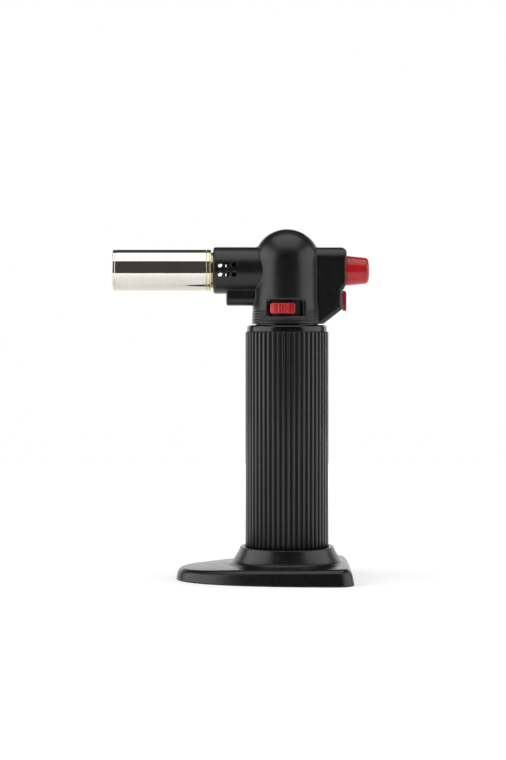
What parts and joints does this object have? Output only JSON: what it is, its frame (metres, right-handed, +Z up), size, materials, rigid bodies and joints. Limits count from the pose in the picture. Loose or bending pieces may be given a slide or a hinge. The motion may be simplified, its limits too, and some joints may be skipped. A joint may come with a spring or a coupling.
{
  "type": "butane torch",
  "caption": "Upright hand-held butane torch with a ribbed grip on an iron-shaped stand, a steel flame tube, a push-button igniter, a flame lock and a side flow lever.",
  "frame": {"origin": "on the grip's axis, in the plane that the stand rests on", "axes": "+Z up along the grip, -X along the flame tube towards the flame, +X towards the ignition button, -Y towards the side with the flow lever"},
  "size_m": [0.1395, 0.076, 0.1902],
  "materials": {
    "satin_black": "satin moulded nylon with a very fine grain",
    "ribbed_black": "satin moulded ribs",
    "matte_black": "matt moulded",
    "red_gloss": "smooth semi-gloss moulded",
    "white_plastic": "natural acetal",
    "tank_plastic": "translucent nylon",
    "polished_steel": "polished stainless steel",
    "burner_steel": "heat-toned stainless steel",
    "yellow_passivate": "yellow passivated zinc plate",
    "brass": "turned brass",
    "copper": "drawn copper",
    "screw_steel": "zinc plated",
    "spring_steel": "drawn spring wire",
    "ceramic_white": "glazed alumina",
    "lead_sheath": "silicone sheath",
    "seal_rubber": "nitrile",
    "pad_rubber": "matt rubber"
  },
  "bodies": {
    "torch": {"stand": "satin_black", "base_plate": "matte_black", "base_screws": "screw_steel", "base_pads": "pad_rubber", "grip_sleeve": "ribbed_black", "fuel_tank": "tank_plastic", "tank_cap": "matte_black", "tank_seal": "seal_rubber", "pickup_tube": "tank_plastic", "shoulder_ring": "satin_black", "head_left": "satin_black", "head_right": "satin_black", "housing_screws": "screw_steel", "valve_body": "brass", "gas_tube": "copper", "jet_holder": "brass", "gas_jet": "brass", "burner_base": "yellow_passivate", "tube_ring": "yellow_passivate", "flame_tube": "polished_steel", "flame_holder": "burner_steel", "ceramic_sleeve": "ceramic_white", "electrode": "burner_steel", "ignition_lead": "lead_sheath", "piezo_body": "matte_black", "filler_body": "brass", "filler_seal": "seal_rubber", "button_spring": "spring_steel", "filler_spring": "spring_steel"},
    "ignition": {"ignition_button": "red_gloss", "piezo_plunger": "white_plastic", "release_slide": "white_plastic"},
    "gas_pin": {"valve_pin": "screw_steel"},
    "flow_control": {"flow_lever": "matte_black", "flow_thumb": "red_gloss", "flow_collar": "brass"},
    "lock": {"flame_lock": "red_gloss"},
    "refill_stem": {"filler_stem": "screw_steel"}
  },
  "joints": [
    {"name": "ignition_press", "type": "slide", "parent": "torch", "child": "ignition", "axis": [-1, 0, 0], "range_m": [0, 0.0055], "stiffness_N_per_m": 800, "springref_m": -0.005, "deforming": ["button_spring"]},
    {"name": "gas_release", "type": "slide", "parent": "torch", "child": "gas_pin", "axis": [0, 0, -1], "range_m": [0, 0.0012]},
    {"name": "flow_turn", "type": "hinge", "parent": "torch", "child": "flow_control", "pos_m": [0, 0, 0.147], "axis": [0, 0, 1], "range_deg": [0, 12]},
    {"name": "lock_slide", "type": "slide", "parent": "torch", "child": "lock", "axis": [0, 0, -1], "range_m": [0, 0.003]},
    {"name": "refill_press", "type": "slide", "parent": "torch", "child": "refill_stem", "axis": [0, 0, 1], "range_m": [0, 0.0015], "stiffness_N_per_m": 300, "springref_m": -0.001, "deforming": ["filler_spring"]}
  ],
  "couplings": [
    {"joint": "gas_release", "follows": "ignition_press", "ratio": 0.21818}
  ]
}
